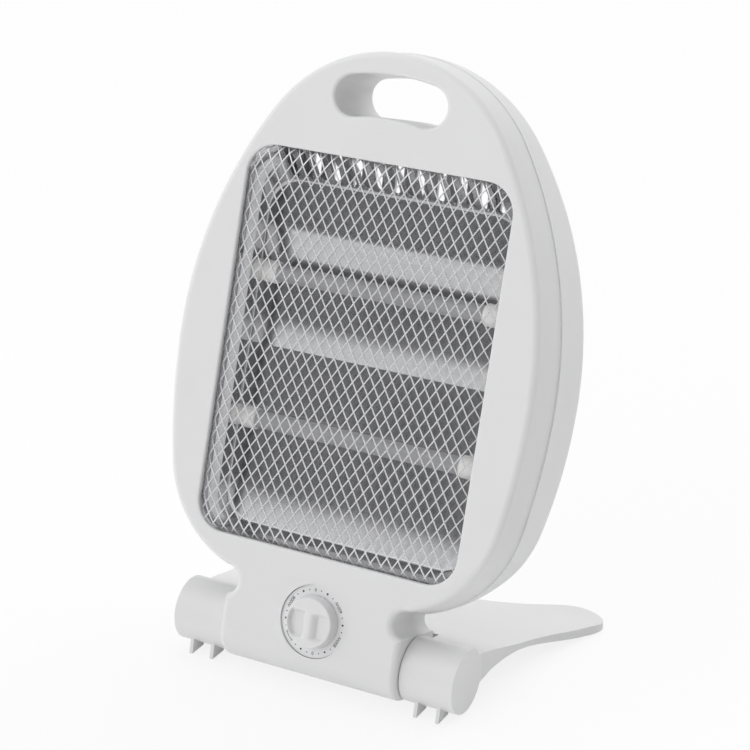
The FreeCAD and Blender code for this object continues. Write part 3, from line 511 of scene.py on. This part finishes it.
def trough_relief(low, bend, top):
    """Heights up the back and how far each lies forward of the deepest one."""
    heights = [low + (top - low) * row / TROUGH_ROWS for row in range(TROUGH_ROWS + 1)]
    depths = [0.0]
    for first, second in zip(heights, heights[1:]):
        middle = (first + second) / 2
        table, start, end = (LOWER_TROUGH, low, bend) if middle < bend else (UPPER_TROUGH, bend, top)
        looks_up = between(table, (middle - start) / (end - start))
        depths.append(depths[-1] + math.tan(math.radians(looks_up)) * (second - first))
    deepest = max(depths)
    return [(height, depth - deepest) for height, depth in zip(heights, depths)]


def shape_back(work, back, bend, low, high):
    """Press the two troughs into the tray's flat back."""
    size = sizes()
    relief = trough_relief(low.z + BOTTOM_RISE, bend, high.z - TOP_DROP)
    for z, _ in relief[1:-1]:
        flat = [face for face in work.faces if all(abs(v.co.y - back) < NEAR for v in face.verts)]
        edges = list({edge for face in flat for edge in face.edges})
        corners = list({vertex for face in flat for vertex in face.verts})
        bmesh.ops.bisect_plane(work, geom=flat + edges + corners, plane_co=(0, 0, z), plane_no=(0, 0, 1))
    start = back - size.tray_round - NEAR
    for vertex in work.verts:
        if vertex.co.y > start:
            vertex.co.y += between(relief, vertex.co.z)


def make_reflector():
    """The tray, skinned over its loops, given its thickness and slotted."""
    low, high = upright_box("reflector")
    work = bmesh.new()
    rings = []
    for y, half, bottom, top, corner in reflector_loops(low, high):
        loop = rounded_loop(half, bottom, top, corner, FINE_STEPS)
        rings.append([work.verts.new((x, y, z)) for x, z in loop])
    for first, second in zip(rings, rings[1:]):
        count = len(first)
        for step in range(count):
            after = (step + 1) % count
            work.faces.new((first[step], first[after], second[after], second[step]))
    work.faces.new(rings[-1])
    bend = (low.z + high.z) / 2 - BEND_DROP
    shape_back(work, high.y - REFLECTOR_SHEET, bend, low, high)
    mesh = mesh_from(work, "reflector_tray", smooth_angle=7.0)
    piece = new_piece("reflector_tray", mesh, reflector_metal(), "casing", CASING, ("reflector",))
    thick = piece.modifiers.new("sheet", "SOLIDIFY")
    thick.thickness = REFLECTOR_SHEET
    thick.offset = 1
    solid = evaluated_mesh(piece)
    piece.modifiers.clear()
    piece.data = solid
    cut_away(piece, top_slot_cutters(low, high))


def top_slot_cutters(low, high):
    """Upright slots with round ends across the tray's sloping top."""
    count = int(((high.x - low.x) / 2 - 2 * SLOT_PITCH) / SLOT_PITCH)
    middle = (low.y + high.y) / 2 - SLOT_FORWARD
    cutters = []
    for index in range(-count, count + 1):
        work = bmesh.new()
        x = index * SLOT_PITCH
        outline = []
        for start, end in ((0.0, middle + SLOT_REACH), (math.pi, middle - SLOT_REACH)):
            for step in range(SLOT_STEPS + 1):
                turn = start + math.pi * step / SLOT_STEPS
                outline.append((x + SLOT_HALF * math.cos(turn), end + SLOT_HALF * math.sin(turn)))
        face = work.faces.new([work.verts.new((px, py, high.z - 2 * TOP_DROP)) for px, py in outline])
        grown = bmesh.ops.extrude_face_region(work, geom=[face])
        moved = [item for item in grown["geom"] if isinstance(item, bmesh.types.BMVert)]
        bmesh.ops.translate(work, verts=moved, vec=(0, 0, 3 * TOP_DROP))
        bmesh.ops.recalc_face_normals(work, faces=work.faces)
        cutters.append(work)
    return cutters


# Quartz tubes and their ceramic caps. The shares are of a cap's radius.
TUBE_WALL = 1.0 * MM
TUBE_EDGE = 0.3 * MM
CAP_BEAD = 1.4 * MM
CAP_SLEEVE = 9.5 * MM
CAP_GROOVE = 2.0 * MM
CAP_COLLAR = 7.0 * MM
CAP_MOUTH = 2.0 * MM
CAP_SEGMENTS = 48
SLEEVE_BEVEL = 0.4 * MM
COLLAR_BEVEL = 0.5 * MM
NECK_SHARE = 0.74
BORE_SHARE = 0.78
LIP_SHARE = 0.8
COLLAR_FOOT_SHARE = 0.9
SLEEVE_END_SHARE = 0.93
COLLAR_SHARE = 0.96


def make_tubes():
    """Two open quartz tubes with eased ends."""
    for level in LEVELS:
        node = f"quartz_tube_{level}"
        low, high = upright_box(node)
        radius = (high.z - low.z) / 2
        middle = (low + high) / 2
        length = high.x - low.x
        bore = radius - TUBE_WALL
        edge = radius - TUBE_EDGE
        profile = [(bore, 0), (edge, 0), (radius, TUBE_EDGE), (radius, length - TUBE_EDGE),
                   (edge, length), (bore, length), (bore, 0)]
        work = turned(profile, (low.x, middle.y, middle.z), (1, 0, 0))
        bmesh.ops.remove_doubles(work, verts=work.verts, dist=TINY)
        mesh = mesh_from(work, f"tube_glass_{level}")
        new_piece(f"tube_glass_{level}", mesh, milky_quartz(), "casing", CASING, (node,))


def cap_profile(radius, length):
    """Pairs (radius, distance) of a cap: a sleeve round the tube, a groove, a collar and a neck."""
    neck = radius * NECK_SHARE
    collar = radius * COLLAR_SHARE
    second = CAP_SLEEVE + CAP_GROOVE
    profile = [(0.0, CAP_MOUTH), (radius * BORE_SHARE, CAP_MOUTH)]
    profile += round_step(radius * LIP_SHARE, radius, 0.0, CAP_BEAD)
    profile += [(radius, CAP_SLEEVE - CAP_BEAD), (radius * SLEEVE_END_SHARE, CAP_SLEEVE - SLEEVE_BEVEL),
                (neck, CAP_SLEEVE), (neck, second)]
    profile += [(radius * COLLAR_FOOT_SHARE, second + COLLAR_BEVEL), (collar, second + CAP_BEAD),
                (collar, second + CAP_COLLAR), (neck, second + CAP_COLLAR + CAP_BEAD)]
    return profile + [(neck, length), (0.0, length)]


def make_caps():
    """A ceramic cap on each end of each tube."""
    for level in LEVELS:
        for side, sign in SIDES.items():
            node = f"ceramic_cap_{level}_{side}"
            low, high = upright_box(node)
            radius = (high.z - low.z) / 2
            middle = (low + high) / 2
            length = high.x - low.x
            start = low.x if sign > 0 else high.x
            work = turned(cap_profile(radius, length), (start, middle.y, middle.z), (sign, 0, 0),
                          CAP_SEGMENTS)
            mesh = mesh_from(work, f"cap_{level}_{side}", smooth_angle=40.0)
            new_piece(f"cap_{level}_{side}", mesh, glazed_ceramic(), "casing", CASING, (node,))


# Dial print
def dial_frame():
    """The dial's own frame, with X right, Y up the panel and Z out of the front, and its radius."""
    low, high = upright_box("dial_plate")
    middle = (low + high) / 2
    spot = Matrix.Translation(Vector((middle.x, low.y, middle.z)))
    return CASING @ spot @ Matrix.Rotation(math.pi / 2, 4, "X"), (high.x - low.x) / 2


def print_word(words, height):
    """A mesh of thin raised letters round the origin."""
    curve = bpy.data.curves.new("word", "FONT")
    curve.body = words
    curve.size = height
    curve.align_x = "CENTER"
    curve.align_y = "CENTER"
    curve.extrude = sizes().print_lift
    curve.resolution_u = 3
    holder = bpy.data.objects.new("word", curve)
    bpy.context.scene.collection.objects.link(holder)
    mesh = evaluated_mesh(holder)
    bpy.data.objects.remove(holder)
    return mesh


# Each power mark of a half turn, with the degrees from it to the dots beside it.
# PRINT_RING is a share of the dial's radius.
POWER_MARKS = (("0", 12.0), ("400W", 19.5), ("800W", 19.5))
HALF_TURNS = 2
FIRST_MARK = -6.5
DOT_STEP = 13.0
DOT_RADII = (0.34 * MM, 0.58 * MM, 0.34 * MM)
DOT_SEGMENTS = 20
WORD_HEIGHT = 2.7 * MM
PRINT_RING = 0.875


def dial_layout():
    """Each power mark, its angle and those of the dots after it, in degrees clockwise from the top."""
    marks = POWER_MARKS * HALF_TURNS
    angle = FIRST_MARK
    layout = []
    for (words, gap), (_, next_gap) in zip(marks, marks[1:] + marks[:1]):
        dots = [angle + gap + DOT_STEP * index for index in range(len(DOT_RADII))]
        layout.append((words, angle, dots))
        angle = dots[-1] + next_gap
    return layout


def make_dial_print():
    """Power marks, heads towards the knob, each followed by a small, a large and a small dot."""
    place, radius = dial_frame()
    ring = radius * PRINT_RING
    work = bmesh.new()
    for words, angle, dots in dial_layout():
        mesh = print_word(words, WORD_HEIGHT)
        mesh.transform(Matrix.Rotation(math.pi, 4, "Z"))
        round_dial = Matrix.Rotation(-math.radians(angle), 4, "Z")
        mesh.transform(round_dial @ Matrix.Translation((0, ring, 0)))
        work.from_mesh(mesh)
        bpy.data.meshes.remove(mesh)
        for dot_angle, dot in zip(dots, DOT_RADII):
            turn = math.radians(dot_angle)
            spot = Vector((math.sin(turn) * ring, math.cos(turn) * ring, 0))
            bmesh.ops.create_cone(work, cap_ends=True, segments=DOT_SEGMENTS, radius1=dot, radius2=dot,
                                  depth=2 * sizes().print_lift, matrix=Matrix.Translation(spot))
    mesh = mesh_from(work, "dial_marks")
    new_piece("dial_marks", mesh, printed_ink(), "casing", place)


# Knob: a grip bar between two finger hollows that stop short of the rim.
# FLOOR_RISE is the share of its depth that a hollow loses at the rim, and BAR_CURVE the power of the
# bar's slope.
KNOB_TAPER = 0.8 * MM
KNOB_EDGE = 0.9 * MM
KNOB_EDGE_STEPS = 6
KNOB_RINGS = 44
KNOB_SEGMENTS = 144
HOLLOW_DEPTH = 3.0 * MM
FLOOR_RISE = 0.05
BAR_TOP = 0.9 * MM
BAR_FOOT = 4.3 * MM
BAR_CURVE = 1.7
RIM_WIDTH = 1.0 * MM
RIM_WALL = 1.0 * MM
HOLLOW_REACH = 8.0 * MM
END_WALL = 2.2 * MM
HOLLOW_DROP = 1.5 * MM
SOCKET_GAP = 0.1 * MM


def ramp(value, start, end):
    """Zero before the start, one after the end, smooth between them."""
    share = min(1.0, max(0.0, (value - start) / (end - start)))
    return share * share * (3 - 2 * share)


def hollow_depth(x, z, rim):
    """How deep the knob's face lies at a place, counted from its middle."""
    down_bar = min(1.0, max(0.0, (abs(x) - BAR_TOP) / (BAR_FOOT - BAR_TOP))) ** BAR_CURVE
    up_floor = 1 - FLOOR_RISE * max(0.0, abs(x) - BAR_FOOT) / (rim - BAR_FOOT)
    within_rim = ramp(rim - math.hypot(x, z), RIM_WIDTH, RIM_WIDTH + RIM_WALL)
    within_reach = ramp(HOLLOW_REACH - abs(z + HOLLOW_DROP), 0.0, END_WALL)
    return HOLLOW_DEPTH * down_bar * up_floor * within_rim * within_reach


def make_knob():
    """The knob, turned with a socket for the shaft, with its face pressed in beside the bar."""
    low, high = upright_box("knob")
    shaft_low, shaft_high = upright_box("switch_shaft")
    middle = (low + high) / 2
    radius = (high.x - low.x) / 2
    front = radius - KNOB_TAPER
    height = high.y - low.y
    bore = (shaft_high.x - shaft_low.x) / 2 + SOCKET_GAP
    socket = high.y - shaft_low.y + SOCKET_GAP
    edge = height - KNOB_EDGE
    profile = [(0.0, socket), (bore, socket), (bore, 0.0), (radius, 0.0), (front, edge)]
    rounding = quarter_round(KNOB_EDGE, KNOB_EDGE_STEPS)
    profile += [(front - across, edge + along) for along, across in rounding]
    face = front - KNOB_EDGE
    profile += [(face * (1 - ring / KNOB_RINGS), height) for ring in range(1, KNOB_RINGS + 1)]
    work = turned(profile, (middle.x, high.y, middle.z), (0, -1, 0), KNOB_SEGMENTS)
    for vertex in work.verts:
        if vertex.co.y < low.y + NEAR:
            vertex.co.y += hollow_depth(vertex.co.x - middle.x, vertex.co.z - middle.z, front)
    mesh = mesh_from(work, "knob_grip", smooth_angle=40.0)
    new_piece("knob_grip", mesh, casing_plastic(), "control_knob", CASING, ("knob",))


# Finishes of the solids that keep their own shape
CARRIED = (
    (casing_plastic, ("front_cover", "rear_cover", "foot", "barrel_end_cap_left",
                      "barrel_end_cap_right")),
    (dial_plastic, ("dial_plate",)),
    (dark_plastic, ("rotary_switch", "tip_over_switch")),
    (pale_rubber, ("cord_bush", "terminal_block", "switch_shaft")),
    (heating_wire, ("heating_coil_upper", "heating_coil_lower")),
    (dull_steel, ("tube_terminals", "thermal_cutout", "cover_screws", "reflector_screws",
                  "switch_screws", "hinge_bolt_left", "hinge_bolt_right", "hinge_washer_left",
                  "hinge_washer_right", "hinge_nut_left", "hinge_nut_right")),
)


def dress_solids():
    """Give each solid that shows as it is its finish."""
    for finish, nodes in CARRIED:
        for name in nodes:
            materials = frame["nodes"][name].data.materials
            materials.clear()
            materials.append(finish())


# Stage: camera, lamp, floor and background. The camera's angles are degrees to the right of the front and
# above the floor, and FLOOR_WHITE is the share of plain white in what the camera and polished surfaces
# see of the floor.
VIEW_RIGHT = 28.667
VIEW_RISE = 23.581
VIEW_LENS = 114.93
VIEW_SENSOR = 36.0
VIEW_CLIP = (0.05, 50.0)
VIEW_FROM_HINGE = Vector((575.94, -996.21, 663.29)) * MM
LAMP_PLACE = Vector((-1.2, -1.3, 2.2))
LAMP_AIM = HINGE + Vector((0, 40, 150)) * MM
LAMP_SIDE = 1.0
LAMP_POWER = 2.0
FLOOR_REACH = 6.0
FLOOR_DROP = 0.5 * MM
FLOOR_ROUGHNESS = 0.6
FLOOR_WHITE = 0.82


def direction(right, rise):
    """The way to a place given in degrees to the right of the front and above the floor."""
    turn = math.radians(right)
    lift = math.radians(rise)
    return Vector((math.sin(turn) * math.cos(lift), -math.cos(turn) * math.cos(lift), math.sin(lift)))


def face_along(thing, way):
    """Turn a camera or lamp to look along a direction, upright."""
    thing.rotation_mode = "QUATERNION"
    thing.rotation_quaternion = way.to_track_quat("-Z", "Y")


def make_camera():
    """The photograph's view, placed from the hinge."""
    data = bpy.data.cameras.new("View")
    data.sensor_width = VIEW_SENSOR
    data.lens = VIEW_LENS
    data.clip_start, data.clip_end = VIEW_CLIP
    camera = bpy.data.objects.new("View", data)
    bpy.context.scene.collection.objects.link(camera)
    camera.location = HINGE + VIEW_FROM_HINGE
    face_along(camera, -direction(VIEW_RIGHT, VIEW_RISE))
    bpy.context.scene.camera = camera


def make_lamp():
    """A weak square lamp above the front left."""
    data = bpy.data.lights.new("Key", "AREA")
    data.shape = "RECTANGLE"
    data.size = LAMP_SIDE
    data.size_y = LAMP_SIDE
    data.energy = LAMP_POWER
    lamp = bpy.data.objects.new("Key", data)
    bpy.context.scene.collection.objects.link(lamp)
    lamp.location = LAMP_PLACE
    face_along(lamp, LAMP_AIM - LAMP_PLACE)


def seen_directly(tree):
    """Two masks: rays from the camera, from polish or through glass, and rays from the camera alone."""
    path = add_node(tree, "ShaderNodeLightPath")
    level = path.outputs["Is Camera Ray"]
    for kind in ("Is Glossy Ray", "Is Transmission Ray"):
        higher = add_node(tree, "ShaderNodeMath", operation="MAXIMUM")
        tree.links.new(level, higher.inputs[0])
        tree.links.new(path.outputs[kind], higher.inputs[1])
        level = higher.outputs[0]
    return level, path.outputs["Is Camera Ray"]


def make_floor():
    """A pale floor that keeps the heater's shadow."""
    work = bmesh.new()
    bmesh.ops.create_grid(work, x_segments=1, y_segments=1, size=FLOOR_REACH)
    mesh = mesh_from(work, "floor")
    floor = bpy.data.objects.new("floor", mesh)
    bpy.context.scene.collection.objects.link(floor)
    floor.location.z = -FLOOR_DROP
    material = bpy.data.materials.new("Pale_floor")
    material.use_nodes = True
    tree = material.node_tree
    body = tree.nodes["Principled BSDF"]
    body.inputs["Base Color"].default_value = (*colours().floor, 1)
    body.inputs["Roughness"].default_value = FLOOR_ROUGHNESS
    glow = add_node(tree, "ShaderNodeEmission", {"Color": (1, 1, 1, 1), "Strength": 1.0})
    mix = add_node(tree, "ShaderNodeMixShader")
    share = add_node(tree, "ShaderNodeMath", {1: FLOOR_WHITE}, operation="MULTIPLY")
    direct, _ = seen_directly(tree)
    tree.links.new(direct, share.inputs[0])
    tree.links.new(share.outputs[0], mix.inputs["Fac"])
    tree.links.new(body.outputs["BSDF"], mix.inputs[1])
    tree.links.new(glow.outputs["Emission"], mix.inputs[2])
    tree.links.new(mix.outputs["Shader"], tree.nodes["Material Output"].inputs["Surface"])
    mesh.materials.append(material)


# The studio's soft panels: degrees to the right of the front, degrees above the floor, strength.
# The key lights stand in front and to the left, the rim light high behind, and the right front stays dark.
PANEL_EDGE = 0.64
KEY_LIGHT = 1.2
RIM_LIGHT = 1.2
FILL_LIGHT = 0.5
SOFT_LIGHT = 0.3
STUDIO_PANELS = (
    (0, 90, FILL_LIGHT),
    (120, 50, FILL_LIGHT), (180, 50, RIM_LIGHT), (240, 50, SOFT_LIGHT), (300, 50, SOFT_LIGHT),
    (0, 10, KEY_LIGHT), (135, 10, FILL_LIGHT), (180, 10, FILL_LIGHT), (270, 10, SOFT_LIGHT),
    (315, 10, KEY_LIGHT),
)
# Dark screens that only polished surfaces mirror: the same two angles. A patch, lit or dark, starts where
# the cosine of the angle from its middle is its EDGE, and a screen is full where it is SCREEN_FULL.
DARK_SCREENS = ((-26, 9), (2, 9), (28, 9))
SCREEN_EDGE = 0.945
SCREEN_FULL = 0.98
SCREEN_DEPTH = 0.86


def patch_mask(tree, way, right, rise, edge, full):
    """One where a direction points into a patch of the surroundings, zero outside it."""
    dot = add_node(tree, "ShaderNodeVectorMath", {1: direction(right, rise)}, operation="DOT_PRODUCT")
    reach = add_node(tree, "ShaderNodeMapRange", {"From Min": edge, "From Max": full},
                     interpolation_type="SMOOTHSTEP")
    tree.links.new(way, dot.inputs[0])
    tree.links.new(dot.outputs["Value"], reach.inputs["Value"])
    return reach.outputs["Result"]


def panel_light(tree, way):
    """The strength of all soft panels together in a direction."""
    light = None
    for right, rise, strength in STUDIO_PANELS:
        add = add_node(tree, "ShaderNodeMath", {1: strength, 2: 0.0}, operation="MULTIPLY_ADD")
        tree.links.new(patch_mask(tree, way, right, rise, PANEL_EDGE, 1.0), add.inputs[0])
        if light:
            tree.links.new(light, add.inputs[2])
        light = add.outputs[0]
    return light


def screen_shade(tree, way):
    """One in most directions, and lower where a dark screen stands."""
    shade = None
    for right, rise in DARK_SCREENS:
        fade = add_node(tree, "ShaderNodeMath", {1: -SCREEN_DEPTH, 2: 1.0}, operation="MULTIPLY_ADD")
        mask = patch_mask(tree, way, right, rise, SCREEN_EDGE, SCREEN_FULL)
        tree.links.new(mask, fade.inputs[0])
        darker = add_node(tree, "ShaderNodeMath", {1: 1.0}, operation="MINIMUM")
        tree.links.new(fade.outputs[0], darker.inputs[0])
        if shade:
            tree.links.new(shade, darker.inputs[1])
        shade = darker.outputs[0]
    return shade


def make_world():
    """Soft panels light the heater; the camera sees white, and polished surfaces also dark screens."""
    world = bpy.data.worlds.new("Studio")
    bpy.context.scene.world = world
    world.use_nodes = True
    tree = world.node_tree
    panels = tree.nodes["Background"]
    panels.inputs["Color"].default_value = (1, 1, 1, 1)
    way = add_node(tree, "ShaderNodeTexCoord").outputs["Generated"]
    tree.links.new(panel_light(tree, way), panels.inputs["Strength"])
    direct, camera = seen_directly(tree)
    plain = add_node(tree, "ShaderNodeMath", operation="MAXIMUM")
    tree.links.new(camera, plain.inputs[0])
    tree.links.new(screen_shade(tree, way), plain.inputs[1])
    white = add_node(tree, "ShaderNodeBackground", {"Color": (1, 1, 1, 1)})
    tree.links.new(plain.outputs[0], white.inputs["Strength"])
    mix = add_node(tree, "ShaderNodeMixShader")
    tree.links.new(direct, mix.inputs["Fac"])
    tree.links.new(panels.outputs["Background"], mix.inputs[1])
    tree.links.new(white.outputs["Background"], mix.inputs[2])
    tree.links.new(mix.outputs["Shader"], tree.nodes["World Output"].inputs["Surface"])


# Operators
class HEATER_OT_solids(bpy.types.Operator):
    """Give the solids that keep their shape their finishes"""
    bl_idname = "heater.solids"
    bl_label = "Finish the solids"

    def execute(self, context):
        dress_solids()
        return {"FINISHED"}


class HEATER_OT_grille(bpy.types.Operator):
    """Make the expanded metal grille"""
    bl_idname = "heater.grille"
    bl_label = "Make the grille"

    def execute(self, context):
        make_grille()
        return {"FINISHED"}


class HEATER_OT_reflector(bpy.types.Operator):
    """Make the polished reflector"""
    bl_idname = "heater.reflector"
    bl_label = "Make the reflector"

    def execute(self, context):
        make_reflector()
        return {"FINISHED"}


class HEATER_OT_tubes(bpy.types.Operator):
    """Make the quartz tubes and their ceramic caps"""
    bl_idname = "heater.tubes"
    bl_label = "Make the tubes"

    def execute(self, context):
        make_tubes()
        make_caps()
        return {"FINISHED"}


class HEATER_OT_dial(bpy.types.Operator):
    """Print the power marks on the dial and make its knob"""
    bl_idname = "heater.dial"
    bl_label = "Make the dial"

    def execute(self, context):
        make_dial_print()
        make_knob()
        return {"FINISHED"}


class HEATER_OT_stage(bpy.types.Operator):
    """Set up the camera, the lamp, the floor and the background"""
    bl_idname = "heater.stage"
    bl_label = "Set the stage"

    def execute(self, context):
        make_camera()
        make_lamp()
        make_floor()
        make_world()
        context.scene.view_settings.view_transform = "Standard"
        return {"FINISHED"}


class HEATER_PT_panel(bpy.types.Panel):
    """Lists the heater's operators and settings"""
    bl_label = "Quartz heater"
    bl_idname = "HEATER_PT_panel"
    bl_space_type = "VIEW_3D"
    bl_region_type = "UI"
    bl_category = "Heater"

    def draw(self, context):
        for operator in OPERATORS:
            self.layout.operator(operator.bl_idname)
        for settings in (context.scene.heater_sizes, context.scene.heater_colours):
            for name in settings.__annotations__:
                self.layout.prop(settings, name)


OPERATORS = (HEATER_OT_solids, HEATER_OT_grille, HEATER_OT_reflector, HEATER_OT_tubes,
             HEATER_OT_dial, HEATER_OT_stage)
CLASSES = (HeaterSizes, HeaterColours, *OPERATORS, HEATER_PT_panel)


def register():
    for item in CLASSES:
        bpy.utils.register_class(item)
    bpy.types.Scene.heater_sizes = bpy.props.PointerProperty(type=HeaterSizes)
    bpy.types.Scene.heater_colours = bpy.props.PointerProperty(type=HeaterColours)


def unregister():
    del bpy.types.Scene.heater_colours
    del bpy.types.Scene.heater_sizes
    for item in reversed(CLASSES):
        bpy.utils.unregister_class(item)


def main():
    register()
    bpy.ops.heater.solids()
    bpy.ops.heater.grille()
    bpy.ops.heater.reflector()
    bpy.ops.heater.tubes()
    bpy.ops.heater.dial()
    bpy.ops.heater.stage()


if __name__ == "__main__":
    main()
